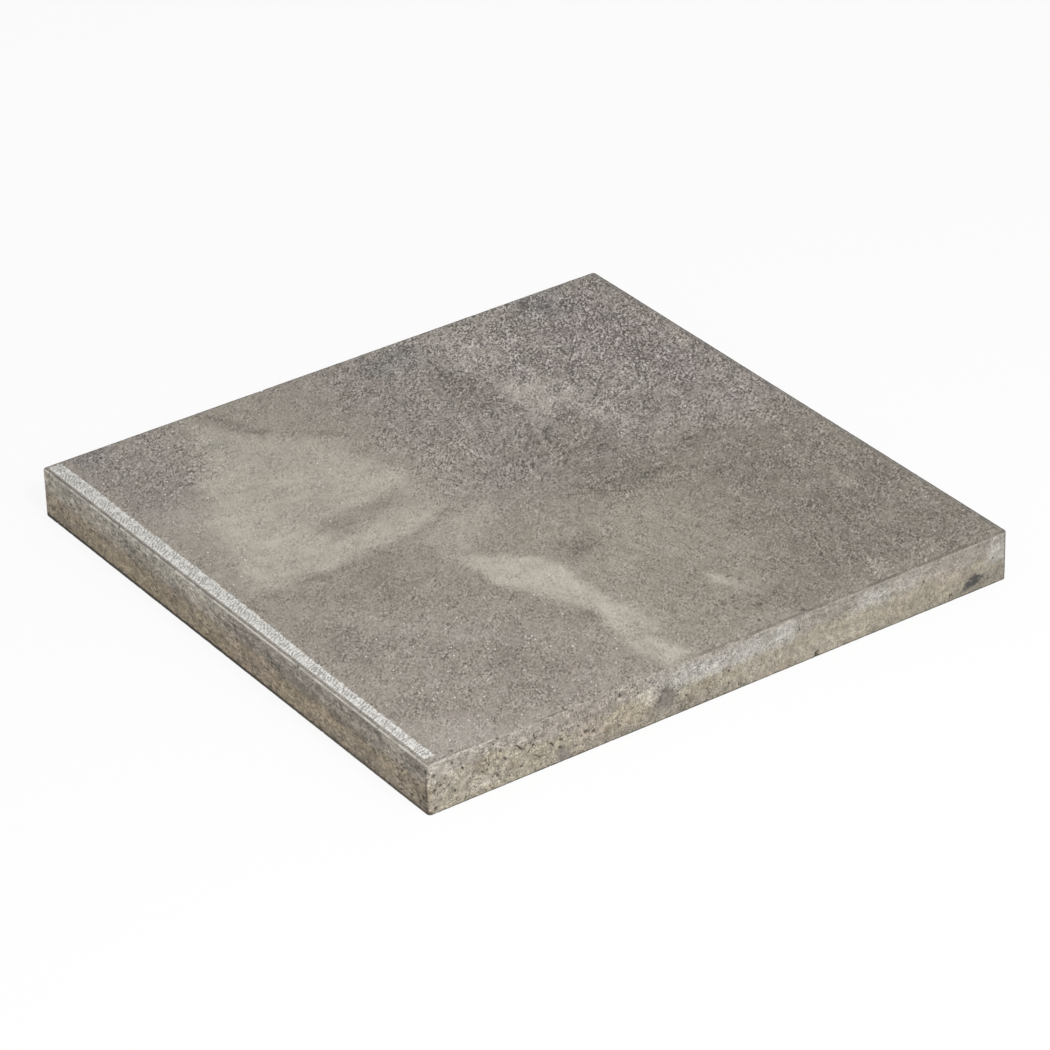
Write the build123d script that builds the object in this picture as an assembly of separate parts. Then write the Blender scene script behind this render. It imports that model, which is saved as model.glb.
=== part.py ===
from build123d import *
import os

# Square concrete paving slab, pressed and cast in one piece, lying face up.
# Millimetres, +Z up. The origin is the middle of the underside.
# The edge with the tooled margin is on the -Y side and runs along X.

# Slab
slab_length = 500.0  # along X
slab_width = 500.0  # along Y
slab_thickness = 40.0
corner_radius = 3.0  # upright corners, as the mould leaves them
face_arris = 1.2  # bevel round the walking face
bed_arris = 1.0  # bevel round the underside

# Tooled margin, a shallow sunk band along one edge of the walking face
margin_setback = 5.0  # plain lip left between the slab's side and the band
margin_width = 11.0
margin_depth = 0.4

# Overrun of a cut past the body that it cuts
cut_overrun = 2.0


def slab_blank():
    """The pressed block: rounded square plan, with the arrises of both faces eased."""
    with BuildPart() as blank:
        with BuildSketch(Plane.XY):
            RectangleRounded(slab_length, slab_width, corner_radius)
        extrude(amount=slab_thickness)
        chamfer(blank.faces().sort_by(Axis.Z)[-1].edges(), length=face_arris)
        chamfer(blank.faces().sort_by(Axis.Z)[0].edges(), length=bed_arris)
    return blank.part


def margin_cut():
    """The body that the tooling takes off: a flat band, run out past both ends of the edge."""
    band_length = slab_length + 2 * cut_overrun
    band_y = -slab_width / 2 + margin_setback + margin_width / 2
    with BuildPart() as cut:
        with BuildSketch(Plane.XY.offset(slab_thickness - margin_depth)):
            with Locations((0, band_y)):
                Rectangle(band_length, margin_width)
        extrude(amount=margin_depth + cut_overrun)
    return cut.part


paving_slab = slab_blank() - margin_cut()

os.makedirs("parts", exist_ok=True)
export_step(paving_slab, "parts/paving_slab.step")
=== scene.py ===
import math
import random

import bmesh
import bpy
from mathutils import Matrix, Vector, kdtree, noise


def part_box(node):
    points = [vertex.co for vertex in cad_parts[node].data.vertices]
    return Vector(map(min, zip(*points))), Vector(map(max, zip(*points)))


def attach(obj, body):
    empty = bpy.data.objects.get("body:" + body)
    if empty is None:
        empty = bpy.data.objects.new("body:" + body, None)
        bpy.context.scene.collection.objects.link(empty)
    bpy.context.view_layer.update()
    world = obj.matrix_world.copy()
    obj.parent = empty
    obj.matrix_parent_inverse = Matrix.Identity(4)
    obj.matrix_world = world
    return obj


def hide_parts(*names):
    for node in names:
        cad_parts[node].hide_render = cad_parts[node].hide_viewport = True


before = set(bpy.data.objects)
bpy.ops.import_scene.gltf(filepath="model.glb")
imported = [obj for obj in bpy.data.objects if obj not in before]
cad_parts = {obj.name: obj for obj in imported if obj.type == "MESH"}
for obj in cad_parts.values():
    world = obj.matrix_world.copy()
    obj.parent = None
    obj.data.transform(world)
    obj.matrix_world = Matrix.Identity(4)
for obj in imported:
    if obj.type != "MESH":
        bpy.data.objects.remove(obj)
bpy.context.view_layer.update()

slabLow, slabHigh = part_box("paving_slab")
slabMiddle = (slabLow + slabHigh) / 2
slabHalf = (slabHigh - slabLow) / 2
mm = 0.001
flush = 0.1 * mm  # nearer than this, a point counts as in the plane of the face or the bed
print("frame loaded, slab", [round(side / mm, 2) for side in slabHigh - slabLow], "mm")


# the way from the slab to a camera or lamp, by angles in degrees, azimuth 0 being on the -Y side
def towards(azimuth, elevation):
    level = math.cos(math.radians(elevation))
    azimuth = math.radians(azimuth)
    height = math.sin(math.radians(elevation))
    return Vector((math.sin(azimuth) * level, -math.cos(azimuth) * level, height))


def addObject(name, data):
    thing = bpy.data.objects.new(name, data)
    bpy.context.scene.collection.objects.link(thing)
    return thing


# Camera, fitted to the corners of the slab
cameraView = {
    "azimuth": 55.53,  # degrees, 0 looks along +Y
    "elevation": 30.66,
    "roll": -1.65,
    "distance": 3.65,
    "aim": (-0.0037, 0.0086, 0.0132),
    "lens": 172.45,
    "sensor": 36.0,
    "clipEnd": 60.0,
}


def placeCamera():
    lens = bpy.data.cameras.new("photoCamera")
    lens.lens = cameraView["lens"]
    lens.sensor_width = cameraView["sensor"]
    lens.clip_end = cameraView["clipEnd"]
    camera = addObject("photoCamera", lens)
    turn = Matrix.Rotation(math.radians(cameraView["azimuth"]), 4, "Z")
    turn = turn @ Matrix.Rotation(math.radians(90.0 - cameraView["elevation"]), 4, "X")
    turn = turn @ Matrix.Rotation(math.radians(cameraView["roll"]), 4, "Z")
    back = towards(cameraView["azimuth"], cameraView["elevation"])
    place = Vector(cameraView["aim"]) + back * cameraView["distance"]
    camera.matrix_world = Matrix.Translation(place) @ turn
    bpy.context.scene.camera = camera


# Node helpers: sockets and plain numbers go in alike
def put(tree, kind, **settings):
    node = tree.nodes.new(kind)
    for setting, value in settings.items():
        setattr(node, setting, value)
    return node


def feed(tree, socket, source):
    if isinstance(source, bpy.types.NodeSocket):
        tree.links.new(source, socket)
    else:
        socket.default_value = source


def sums(tree, operation, first, second=0.0, clamp=False):
    node = put(tree, "ShaderNodeMath", operation=operation, use_clamp=clamp)
    feed(tree, node.inputs[0], first)
    feed(tree, node.inputs[1], second)
    return node.outputs[0]


def times(tree, first, second, clamp=False):
    return sums(tree, "MULTIPLY", first, second, clamp)


def plus(tree, first, second):
    return sums(tree, "ADD", first, second)


def minus(tree, first, second):
    return sums(tree, "SUBTRACT", first, second)


def vectorSums(tree, operation, first, second):
    node = put(tree, "ShaderNodeVectorMath", operation=operation)
    feed(tree, node.inputs[0], first)
    if operation == "SCALE":
        feed(tree, node.inputs["Scale"], second)
    else:
        feed(tree, node.inputs[1], second)
    return node.outputs["Value" if operation == "DOT_PRODUCT" else "Vector"]


def fade(tree, value, start, end, low=0.0, high=1.0):
    node = put(tree, "ShaderNodeMapRange", interpolation_type="SMOOTHSTEP")
    feed(tree, node.inputs["Value"], value)
    feed(tree, node.inputs["From Min"], start)
    feed(tree, node.inputs["From Max"], end)
    feed(tree, node.inputs["To Min"], low)
    feed(tree, node.inputs["To Max"], high)
    return node.outputs["Result"]


def mixTint(tree, amount, under, over):
    node = put(tree, "ShaderNodeMix", data_type="RGBA")
    feed(tree, node.inputs[0], amount)
    feed(tree, node.inputs[6], under)
    feed(tree, node.inputs[7], over)
    return node.outputs[2]


def cloud(tree, point, size, detail=3.0, roughness=0.55, output="Fac"):
    node = put(tree, "ShaderNodeTexNoise")
    feed(tree, node.inputs["Vector"], point)
    node.inputs["Scale"].default_value = 1.0 / size
    node.inputs["Detail"].default_value = detail
    node.inputs["Roughness"].default_value = roughness
    return node.outputs[output]


# the same about 0
def swell(tree, point, size, detail=3.0, roughness=0.55):
    return minus(tree, cloud(tree, point, size, detail, roughness), 0.5)


def spots(tree, point, size):
    node = put(tree, "ShaderNodeTexVoronoi")
    feed(tree, node.inputs["Vector"], point)
    node.inputs["Scale"].default_value = 1.0 / size
    return node


def pickOf(tree, node):
    parts = put(tree, "ShaderNodeSeparateColor")
    feed(tree, parts.inputs["Color"], node.outputs["Color"])
    return parts.outputs["Red"]


def weighted(tree, shares):
    total = None
    for value, weight in shares:
        share = times(tree, value, weight)
        total = share if total is None else plus(tree, total, share)
    return total


def tint(rgb):
    return (rgb[0], rgb[1], rgb[2], 1.0)


def tinted(tones):
    return {name: tint(rgb) for name, rgb in tones.items()}


def millimetres(tree):
    place = put(tree, "ShaderNodeTexCoord").outputs["Object"]
    return vectorSums(tree, "SCALE", place, 1000.0)


def split(tree, point):
    node = put(tree, "ShaderNodeSeparateXYZ")
    feed(tree, node.inputs[0], point)
    return node.outputs


def newFinish(name):
    finish = bpy.data.materials.new(name)
    finish.use_nodes = True
    return finish, finish.node_tree


def stirred(tree, point, size, reach, detail):
    wave = cloud(tree, point, size, detail, output="Color")
    shift = vectorSums(tree, "SUBTRACT", wave, (0.5, 0.5, 0.5))
    shift = vectorSums(tree, "MULTIPLY", shift, reach)
    return vectorSums(tree, "ADD", point, shift)


def flatPoint(tree, point):
    flat = vectorSums(tree, "MULTIPLY", point, (1.0, 1.0, 0.0))
    return vectorSums(tree, "ADD", flat, (0.0, 0.0, 1.0))


# the plan drawn out along one slope, then tilted so that the noise shows no grid
def drawnOut(tree, point, degrees, stretch):
    slope = math.radians(degrees)
    lengthways = Vector((math.cos(slope), math.sin(slope), 0.0)) / stretch
    sideways = Vector((-math.sin(slope), math.cos(slope), 0.0))
    run = vectorSums(tree, "DOT_PRODUCT", point, lengthways)
    cross = vectorSums(tree, "DOT_PRODUCT", point, sideways)
    run = vectorSums(tree, "SCALE", Vector((2, 1, 2)) / 3, run)
    cross = vectorSums(tree, "SCALE", Vector((-2, 2, 1)) / 3, cross)
    return vectorSums(tree, "ADD", run, cross)


# Group: a soft patch with four straight sides, each side a line (a, b, c) with a*x + b*y + c = 0
def makePatchGroup():
    group = bpy.data.node_groups.new("softPatch", "ShaderNodeTree")
    face = group.interface
    face.new_socket(name="Point", in_out="INPUT", socket_type="NodeSocketVector")
    for number in range(4):
        face.new_socket(name=f"Side {number + 1}", in_out="INPUT", socket_type="NodeSocketVector")
    face.new_socket(name="Softness", in_out="INPUT", socket_type="NodeSocketFloat")
    face.new_socket(name="Strength", in_out="INPUT", socket_type="NodeSocketFloat")
    face.new_socket(name="Mask", in_out="OUTPUT", socket_type="NodeSocketFloat")
    start = put(group, "NodeGroupInput")
    end = put(group, "NodeGroupOutput")
    inside = None
    for number in range(4):
        side = start.outputs[f"Side {number + 1}"]
        reach = vectorSums(group, "DOT_PRODUCT", start.outputs["Point"], side)
        inside = reach if inside is None else sums(group, "MINIMUM", inside, reach)
    outer = times(group, start.outputs["Softness"], -1.0)
    mask = fade(group, inside, outer, start.outputs["Softness"])
    mask = times(group, mask, start.outputs["Strength"])
    feed(group, end.inputs["Mask"], mask)
    return group


# Sand in the concrete, for both finishes, with sizes in mm
sandMix = {
    "sizes": (1.5, 2.9, 8.0),  # fine, coarse and broad
    "reliefShares": (0.9, 1.5, 0.8),
    "toneShares": (4.0, 1.0),  # fine and broad
    "driftSize": 9.0,  # areas of weaker and stronger grain
    "driftRange": (0.65, 1.4),
    "clusterSize": 11.0,  # clusters of bright flakes, which carry painted glints
    "clusterRange": (0.03, 0.6),
    "flake": (2.6, 0.75),  # cell and radius
    "plainFlakeGlints": 0.992,  # a cell with a random number above this has a bright flake with a painted glint
    # dark specks, painted as the shade of tiny pits: cell and radius, then the random number above which a
    # cell has one
    "speckShade": (8.0, 0.8),
    "plainSpeckShades": 0.82,
}


# Group: fine and coarse tone about 0, relief, bright flakes that carry painted glints, and dark specks
# painted as the shade of tiny pits
def makeSandGroup():
    group = bpy.data.node_groups.new("sandGrain", "ShaderNodeTree")
    face = group.interface
    face.new_socket(name="Point", in_out="INPUT", socket_type="NodeSocketVector")
    face.new_socket(name="Sparkle", in_out="INPUT", socket_type="NodeSocketFloat")
    for name in ("Fine", "Coarse", "Relief", "Flake", "SpeckShade"):
        face.new_socket(name=name, in_out="OUTPUT", socket_type="NodeSocketFloat")
    start = put(group, "NodeGroupInput")
    end = put(group, "NodeGroupOutput")
    point = start.outputs["Point"]
    grains = []
    for size in sandMix["sizes"]:
        grains.append(swell(group, point, size, 2.0, 0.6))
    fine, coarse, broad = grains
    feed(group, end.inputs["Relief"], weighted(group, zip(grains, sandMix["reliefShares"])))
    drift = fade(group, cloud(group, point, sandMix["driftSize"], 1.0), 0.33, 0.67, *sandMix["driftRange"])
    tone = weighted(group, zip((times(group, fine, drift), broad), sandMix["toneShares"]))
    feed(group, end.inputs["Fine"], tone)
    feed(group, end.inputs["Coarse"], times(group, coarse, drift))
    clusters = cloud(group, point, sandMix["clusterSize"], 1.0)
    clusters = fade(group, clusters, 0.5, 0.66, *sandMix["clusterRange"])
    fewer = minus(group, sandMix["plainFlakeGlints"], times(group, start.outputs["Sparkle"], clusters))
    for name, key, share in (("Flake", "flake", fewer), ("SpeckShade", "speckShade", sandMix["plainSpeckShades"])):
        cell, radius = sandMix[key]
        dots = spots(group, point, cell)
        dot = fade(group, dots.outputs["Distance"], radius / cell, 0.45 * radius / cell)
        picked = sums(group, "GREATER_THAN", pickOf(group, dots), share)
        feed(group, end.inputs[name], times(group, dot, picked))
    return group


def sidesOf(corners):
    lines = []
    for start, end in zip(corners, corners[1:] + corners[:1]):
        run = Vector(end) - Vector(start)
        inward = Vector((-run.y, run.x)).normalized()
        lines.append((inward.x, inward.y, -inward.dot(Vector(start))))
    return lines


def patchMask(tree, group, point, corners, softness, strength):
    node = put(tree, "ShaderNodeGroup", node_tree=group)
    feed(tree, node.inputs["Point"], point)
    for number, line in enumerate(sidesOf(corners)):
        node.inputs[f"Side {number + 1}"].default_value = line
    node.inputs["Softness"].default_value = softness
    node.inputs["Strength"].default_value = strength
    return node.outputs["Mask"]


# Walking face: tones, and cloudy patches as corners in mm, anticlockwise, seen from above
walkingFace = {
    "tones": {
        "base": (0.31, 0.279, 0.237),
        "pale": (0.47, 0.432, 0.366),
        "brown": (0.185, 0.161, 0.133),
        "mauve": (0.246, 0.209, 0.204),
        "paleMauve": (0.405, 0.365, 0.326),
        "slate": (0.20, 0.19, 0.176),
        "olive": (0.30, 0.269, 0.214),
        "tooled": (0.755, 0.74, 0.705),
        "tooledDark": (0.35, 0.336, 0.312),
        "grain": (0.268, 0.25, 0.24),
        # flake: bright sand flake with a painted glint
        "flake": (0.86, 0.84, 0.80),
        # speck: painted shade, for the dark specks and inside the pits
        "speckShade": (0.11, 0.097, 0.085),
        "rim": (0.12, 0.108, 0.09),
        "arris": (0.60, 0.57, 0.52),
    },
    # tone, strength, softness, stirring, corners
    "patches": [
        ("mauve", 0.55, 45, "loose", [(-260, -25), (-10, -10), (10, 260), (-260, 260)]),
        ("olive", 0.55, 35, "loose", [(25, -30), (260, -35), (260, 140), (30, 110)]),
        ("brown", 0.62, 45, "loose", [(15, 110), (250, 70), (262, 262), (5, 262)]),
        ("brown", 0.5, 30, "loose", [(90, 150), (255, 150), (255, 255), (90, 255)]),
        ("brown", 0.22, 30, "loose", [(-60, 0), (40, -30), (45, 130), (-60, 110)]),
        ("brown", 0.22, 25, "loose", [(140, 0), (245, 0), (245, 75), (140, 70)]),
        ("olive", 0.25, 30, "loose", [(10, -232), (238, -235), (238, -80), (8, -115)]),
        ("mauve", 0.22, 30, "loose", [(60, -232), (245, -235), (245, -70), (90, -110)]),
        ("pale", 0.6, 13, "loose", [(-236, -136), (-142, -170), (-70, -44), (-158, -58)]),
        ("pale", 0.58, 12, "loose", [(-152, -165), (-1, -158), (-10, -66), (-92, -44)]),
        ("pale", 0.82, 14, "loose", [(-150, -166), (-94, -212), (-6, -224), (-6, -140)]),
        ("pale", 0.45, 12, "loose", [(-110, -182), (-70, -200), (-20, -190), (-60, -160)]),
        ("pale", 0.25, 8, "tight", [(-90, -105), (-2, -112), (-24, -43), (-90, -46)]),
        ("brown", 0.5, 10, "tight", [(-62, -134), (-34, -136), (-42, -68), (-62, -60)]),
        ("brown", 0.3, 8, "tight", [(-60, -128), (-34, -132), (-40, -92), (-52, -78)]),
        ("pale", 0.5, 6, "tight", [(-20, -132), (-5, -136), (-22, -48), (-30, -48)]),
        ("base", 0.8, 7, "loose", [(-104, -236), (-14, -230), (-26, -212), (-95, -206)]),
        ("brown", 0.4, 6, "tight", [(1, -236), (8, -236), (5, -118), (0, -118)]),
        ("brown", 0.4, 6, "tight", [(0, -122), (6, -122), (-14, -44), (-21, -44)]),
        ("pale", 0.4, 12, "tight", [(-4, -88), (48, -84), (20, -30), (-8, -20)]),
        ("pale", 0.3, 3, "tight", [(-6, -52), (2, -56), (-1, -22), (-8, -22)]),
        ("pale", 1.0, 5, "tight", [(34, -86), (98, -76), (112, -32), (76, -33)]),
        ("pale", 1.0, 5.5, "tight", [(86, -78), (164, -42), (154, -29), (92, -29)]),
        ("pale", 0.95, 6, "tight", [(150, -41), (176, -51), (207, -26), (164, -20)]),
        ("pale", 0.95, 6, "tight", [(168, -46), (204, -55), (246, -47), (243, -25)]),
        ("pale", 0.75, 4.5, "still", [(164, 46), (178, 42), (198, 54), (184, 58)]),
        ("brown", 0.4, 12, "tight", [(60, -104), (160, -72), (168, -50), (90, -88)]),
        ("brown", 0.55, 5, "tight", [(150, -58), (166, -58), (172, -48), (158, -46)]),
        ("brown", 1.1, 11, "tight", [(67, -16), (90, -17), (92, 8), (70, 10)]),
        ("brown", 1.35, 6, "tight", [(-1, 148), (11, 146), (10, 180), (1, 182)]),
        ("brown", 0.8, 5, "tight", [(7, 126), (19, 126), (17, 152), (8, 152)]),
        ("brown", 1.1, 7, "tight", [(17, 52), (34, 54), (36, 88), (22, 86)]),
        ("brown", 0.8, 6, "tight", [(22, 84), (36, 86), (34, 116), (25, 114)]),
        ("brown", 0.8, 12, "tight", [(-60, 58), (-30, 58), (-28, 96), (-56, 94)]),
        ("brown", 0.4, 18, "loose", [(-70, 40), (40, 40), (40, 110), (-70, 110)]),
        ("slate", 0.75, 16, "loose", [(-256, 164), (-212, 170), (-214, 214), (-256, 214)]),
        ("mauve", 0.9, 12, "loose", [(-238, 205), (-85, 206), (-85, 230), (-238, 228)]),
        ("brown", 0.45, 8, "loose", [(-220, 206), (-185, 206), (-185, 224), (-220, 222)]),
        ("brown", 0.5, 8, "loose", [(-165, 208), (-125, 208), (-125, 226), (-165, 224)]),
        ("mauve", 0.5, 20, "loose", [(-200, 150), (-120, 155), (-120, 200), (-200, 200)]),
        ("paleMauve", 1.15, 18, "loose", [(-146, 80), (-88, 82), (-90, 120), (-144, 122)]),
        ("paleMauve", 0.65, 18, "loose", [(-240, 74), (-182, 76), (-184, 118), (-240, 120)]),
        ("paleMauve", 0.7, 10, "loose", [(-78, 118), (-32, 120), (-34, 138), (-78, 138)]),
        ("slate", 0.75, 12, "loose", [(-242, 28), (-210, 30), (-212, 62), (-240, 62)]),
        ("brown", 0.6, 14, "loose", [(-200, 42), (-112, 44), (-112, 68), (-200, 66)]),
        ("brown", 0.75, 4.5, "tight", [(-249, -113), (-245, -121), (-187, -98), (-192, -88)]),
        ("brown", 0.45, 3, "tight", [(-181, -68), (-176, -74), (-152, -48), (-157, -44)]),
        ("mauve", 0.45, 18, "loose", [(-256, -236), (-135, -232), (-148, -172), (-256, -148)]),
        ("slate", 0.5, 8, "loose", [(-252, -226), (-232, -226), (-232, -200), (-252, -198)]),
        ("paleMauve", 0.4, 12, "loose", [(-150, -232), (-95, -232), (-95, -196), (-140, -190)]),
        ("brown", 0.6, 24, "loose", [(30, 140), (85, 140), (85, 200), (30, 200)]),
        ("brown", 0.6, 22, "loose", [(125, 112), (222, 108), (215, 180), (135, 175)]),
        ("brown", 0.55, 12, "loose", [(205, 55), (240, 56), (238, 98), (208, 96)]),
        ("brown", 0.45, 12, "loose", [(200, 110), (248, 112), (246, 136), (205, 134)]),
        ("pale", 0.3, 5, "tight", [(108, 198), (132, 200), (130, 210), (110, 208)]),
        ("brown", 0.42, 14, "loose", [(10, -165), (80, -158), (82, -124), (12, -124)]),
        ("brown", 0.45, 14, "loose", [(140, -150), (220, -145), (216, -108), (150, -112)]),
        ("brown", 0.35, 10, "loose", [(60, -222), (130, -226), (120, -200), (70, -196)]),
        ("paleMauve", 0.42, 14, "loose", [(14, -222), (60, -205), (150, -120), (95, -145)]),
        ("paleMauve", 0.55, 12, "loose", [(200, -234), (252, -234), (252, -186), (222, -192)]),
        ("arris", 0.5, 0.6, "still", [(248.6, -247), (250.6, -247), (250.6, -196), (248.6, -196)]),
        ("rim", 0.55, 0.5, "still", [(246.6, -249), (247.8, -249), (247.8, -210), (246.6, -210)]),
        ("rim", 0.9, 0.6, "still", [(248.0, -161), (250.6, -161), (250.6, -134), (248.0, -134)]),
    ],
    # size and reach in mm, and detail, of the noise that stirs the patches
    "stirring": {"loose": (38.0, 52.0, 5.0), "tight": (16.0, 15.0, 4.0)},
    "clouds": 0.3,  # how far the broad cloudiness goes to the brown tone
    "hueGrain": 0.05,  # drifts of hue, strongest where the grain is
    "sandRelief": 0.8,  # mm
    # strength, softness, corners
    "coarseAreas": [
        (0.54, 55, [(-262, 60), (-100, 110), (-60, 262), (-262, 262)]),
        (0.54, 24, [(-262, -12), (-36, -38), (26, 262), (-262, 262)]),
        (0.25, 40, [(20, 130), (262, 110), (262, 262), (20, 262)]),
        (0.4, 14, [(4, 42), (46, 42), (46, 122), (4, 122)]),
        (0.3, 30, [(-262, -240), (-150, -240), (-160, -150), (-262, -140)]),
        (0.15, 40, [(60, -240), (262, -240), (262, -80), (60, -110)]),
    ],
    "paleRough": -0.26,  # what the pale patches add to the coarse areas
    "fineGrain": (0.47, 0.8),  # in plain areas, and what the coarse areas add
    "coarseGrain": (0.52, 1.9),
    "leastCoarse": 0.2,
    "darkestGrain": -0.62,
    "flakeGlintTint": 0.75,  # how far the painted glints of bright flakes, and the painted shade of specks and pits, hide the colour
    "speckShadeTint": 0.35,
    "pitTint": 0.85,
    "sparkleAreas": [
        (1.4, 25, [(-245, -238), (-150, -236), (-155, -150), (-245, -130)]),
        (0.8, 30, [(90, -236), (246, -236), (246, -75), (110, -90)]),
        (0.6, 50, [(-250, 40), (-40, 60), (-20, 250), (-250, 250)]),
        (0.5, 20, [(-120, -236), (0, -236), (0, -190), (-120, -190)]),
    ],
    "grainSlope": -34.0,  # degrees from +X towards +Y, the way the grain is drawn
    "grainStretch": 1.7,
    # brush marks: degrees from +X towards +Y, width in mm, stretch, strength, softness, corners
    "brushed": [
        (12.0, 3.4, 8.0, 0.65, 40, [(50, -20), (262, -20), (262, 262), (40, 262)]),
        (-22.0, 9.0, 4.0, 0.5, 40, [(-262, 30), (0, 20), (20, 262), (-262, 262)]),
        (40.0, 4.5, 6.0, 0.42, 30, [(5, -236), (246, -236), (246, -62), (8, -108)]),
        (82.0, 6.0, 5.0, 0.5, 16, [(-236, -136), (-94, -222), (-1, -228), (-40, -40)]),
    ],
    "lipWidth": 3.9,  # mm of plain lip outside the tooled band
    "bandWide": 11.2,  # mm, tooled band at its -X end
    "bandNarrow": 8.3,  # mm, at its +X end
    "bandTaper": (-40.0, 160.0),  # mm along X, where it narrows
    "bandEnds": (-247.0, 241.0),  # mm along X
    "strokeLean": (0.95, 0.45),  # how far a stroke runs to -X over its height, at the two ends
    "strokePitch": 3.2,  # mm along X
    "strokeDepth": (0.12, 0.3),  # mm, between strokes, and what a stroke adds
    "strokeCarving": 1.2,  # relief of the scratches in the band
}


def makeWalkingFace(patchGroup, sandGroup):
    finish, tree = newFinish("walkingFace")
    shader = tree.nodes["Principled BSDF"]
    tones = tinted(walkingFace["tones"])
    point = millimetres(tree)
    parts = split(tree, point)
    stir = {"still": flatPoint(tree, point)}
    for name, (size, reach, detail) in walkingFace["stirring"].items():
        stir[name] = flatPoint(tree, stirred(tree, point, size, (reach, reach, 0.0), detail))

    # cloudy colour, then each patch over it
    broad = cloud(tree, point, 70.0, 5.0, 0.6)
    colour = mixTint(tree, fade(tree, broad, 0.35, 0.8, 0.0, walkingFace["clouds"]), tones["base"],
                     tones["brown"])
    drift = fade(tree, cloud(tree, point, 26.0, 5.0, 0.6), 0.3, 0.65, 0.55, 1.15)
    blotch = fade(tree, cloud(tree, point, 8.0, 4.0, 0.65), 0.25, 0.7, 0.8, 1.1)
    blotch = times(tree, blotch, drift)
    paleness = None
    for name, strength, softness, stirring, corners in walkingFace["patches"]:
        mask = patchMask(tree, patchGroup, stir[stirring], corners, softness, strength)
        mask = times(tree, mask, blotch, clamp=True)
        colour = mixTint(tree, mask, colour, tones[name])
        if name in ("pale", "paleMauve"):
            paleness = mask if paleness is None else sums(tree, "MAXIMUM", paleness, mask)

    # the back left of the face is the coarsest, the pale patches the smoothest
    rough = times(tree, paleness, walkingFace["paleRough"])
    for strength, softness, corners in walkingFace["coarseAreas"]:
        area = patchMask(tree, patchGroup, stir["loose"], corners, softness, strength)
        rough = plus(tree, rough, area)
    plainFine, moreFine = walkingFace["fineGrain"]
    plainCoarse, moreCoarse = walkingFace["coarseGrain"]
    fineShare = plus(tree, times(tree, rough, moreFine), plainFine)
    coarseShare = plus(tree, times(tree, rough, moreCoarse), plainCoarse)
    coarseShare = sums(tree, "MAXIMUM", coarseShare, walkingFace["leastCoarse"])

    sparkle = 0.0
    for strength, softness, corners in walkingFace["sparkleAreas"]:
        area = patchMask(tree, patchGroup, stir["loose"], corners, softness, strength)
        sparkle = plus(tree, area, sparkle)
    sand = put(tree, "ShaderNodeGroup", node_tree=sandGroup)
    grainPoint = drawnOut(tree, point, walkingFace["grainSlope"], walkingFace["grainStretch"])
    feed(tree, sand.inputs["Point"], grainPoint)
    feed(tree, sand.inputs["Sparkle"], sparkle)
    swing = weighted(tree, ((sand.outputs["Fine"], fineShare), (sand.outputs["Coarse"], coarseShare)))
    for degrees, size, stretch, strength, softness, corners in walkingFace["brushed"]:
        marks = swell(tree, drawnOut(tree, stir["tight"], degrees, stretch), size, 2.0, 0.6)
        area = patchMask(tree, patchGroup, stir["loose"], corners, softness, strength)
        swing = plus(tree, swing, times(tree, marks, area))
    # dark grains deepen the colour, light ones add grey
    shade = sums(tree, "MINIMUM", sums(tree, "MAXIMUM", swing, walkingFace["darkestGrain"]), 0.0)
    colour = vectorSums(tree, "SCALE", colour, plus(tree, shade, 1.0))
    light = vectorSums(tree, "SCALE", walkingFace["tones"]["grain"], sums(tree, "MAXIMUM", swing, 0.0))
    colour = vectorSums(tree, "ADD", colour, light)
    hue = cloud(tree, point, 14.0, 1.0, output="Color")
    hue = vectorSums(tree, "SUBTRACT", hue, (0.5, 0.5, 0.5))
    hue = vectorSums(tree, "SCALE", hue, times(tree, fineShare, walkingFace["hueGrain"]))
    colour = vectorSums(tree, "MULTIPLY", colour, vectorSums(tree, "ADD", hue, (1.0, 1.0, 1.0)))
    # bright flakes, painted as glints
    flakeGlints = times(tree, sand.outputs["Flake"], walkingFace["flakeGlintTint"])
    colour = mixTint(tree, flakeGlints, colour, tones["flake"])
    # dark specks, painted as the shade of tiny pits
    speckShades = times(tree, sand.outputs["SpeckShade"], walkingFace["speckShadeTint"])
    colour = mixTint(tree, speckShades, colour, tones["speckShade"])

    # tooled band along the -Y edge, brightest along its two rims
    front = plus(tree, parts["Y"], slabHalf.y / mm)
    ragged = swell(tree, point, 2.4, 2.0)
    taperStart, taperEnd = walkingFace["bandTaper"]
    bandStart, bandEnd = walkingFace["bandEnds"]
    width = fade(tree, parts["X"], taperStart, taperEnd, walkingFace["bandWide"], walkingFace["bandNarrow"])
    across = minus(tree, front, walkingFace["lipWidth"])
    inner = minus(tree, width, across)
    inner = plus(tree, inner, times(tree, ragged, 4.0))
    outer = plus(tree, across, times(tree, ragged, 1.2))
    ends = sums(tree, "MINIMUM", minus(tree, parts["X"], bandStart), minus(tree, bandEnd, parts["X"]))
    ends = plus(tree, ends, times(tree, ragged, 5.0))
    band = times(tree, fade(tree, inner, -0.4, 0.9), fade(tree, outer, -0.3, 0.5))
    band = times(tree, band, fade(tree, ends, -0.8, 0.8))
    tooling = put(tree, "ShaderNodeAttribute", attribute_name="tooling").outputs["Fac"]
    scratches = swell(tree, point, 1.3, 2.0, 0.65)
    rims = sums(tree, "MINIMUM", inner, outer)
    # the band's pale dressed tone carries painted glints on the stroke ridges, and it darkens where the
    # strokes sink deep, as painted shade in the stroke grooves, and with the scratches
    depth = weighted(tree, ((tooling, 0.55), (scratches, 1.9)))
    depth = plus(tree, depth, fade(tree, rims, 3.4, 0.6, 0.05, -0.07))
    tooled = mixTint(tree, fade(tree, depth, -0.05, 0.42), tones["tooled"], tones["tooledDark"])

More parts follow.
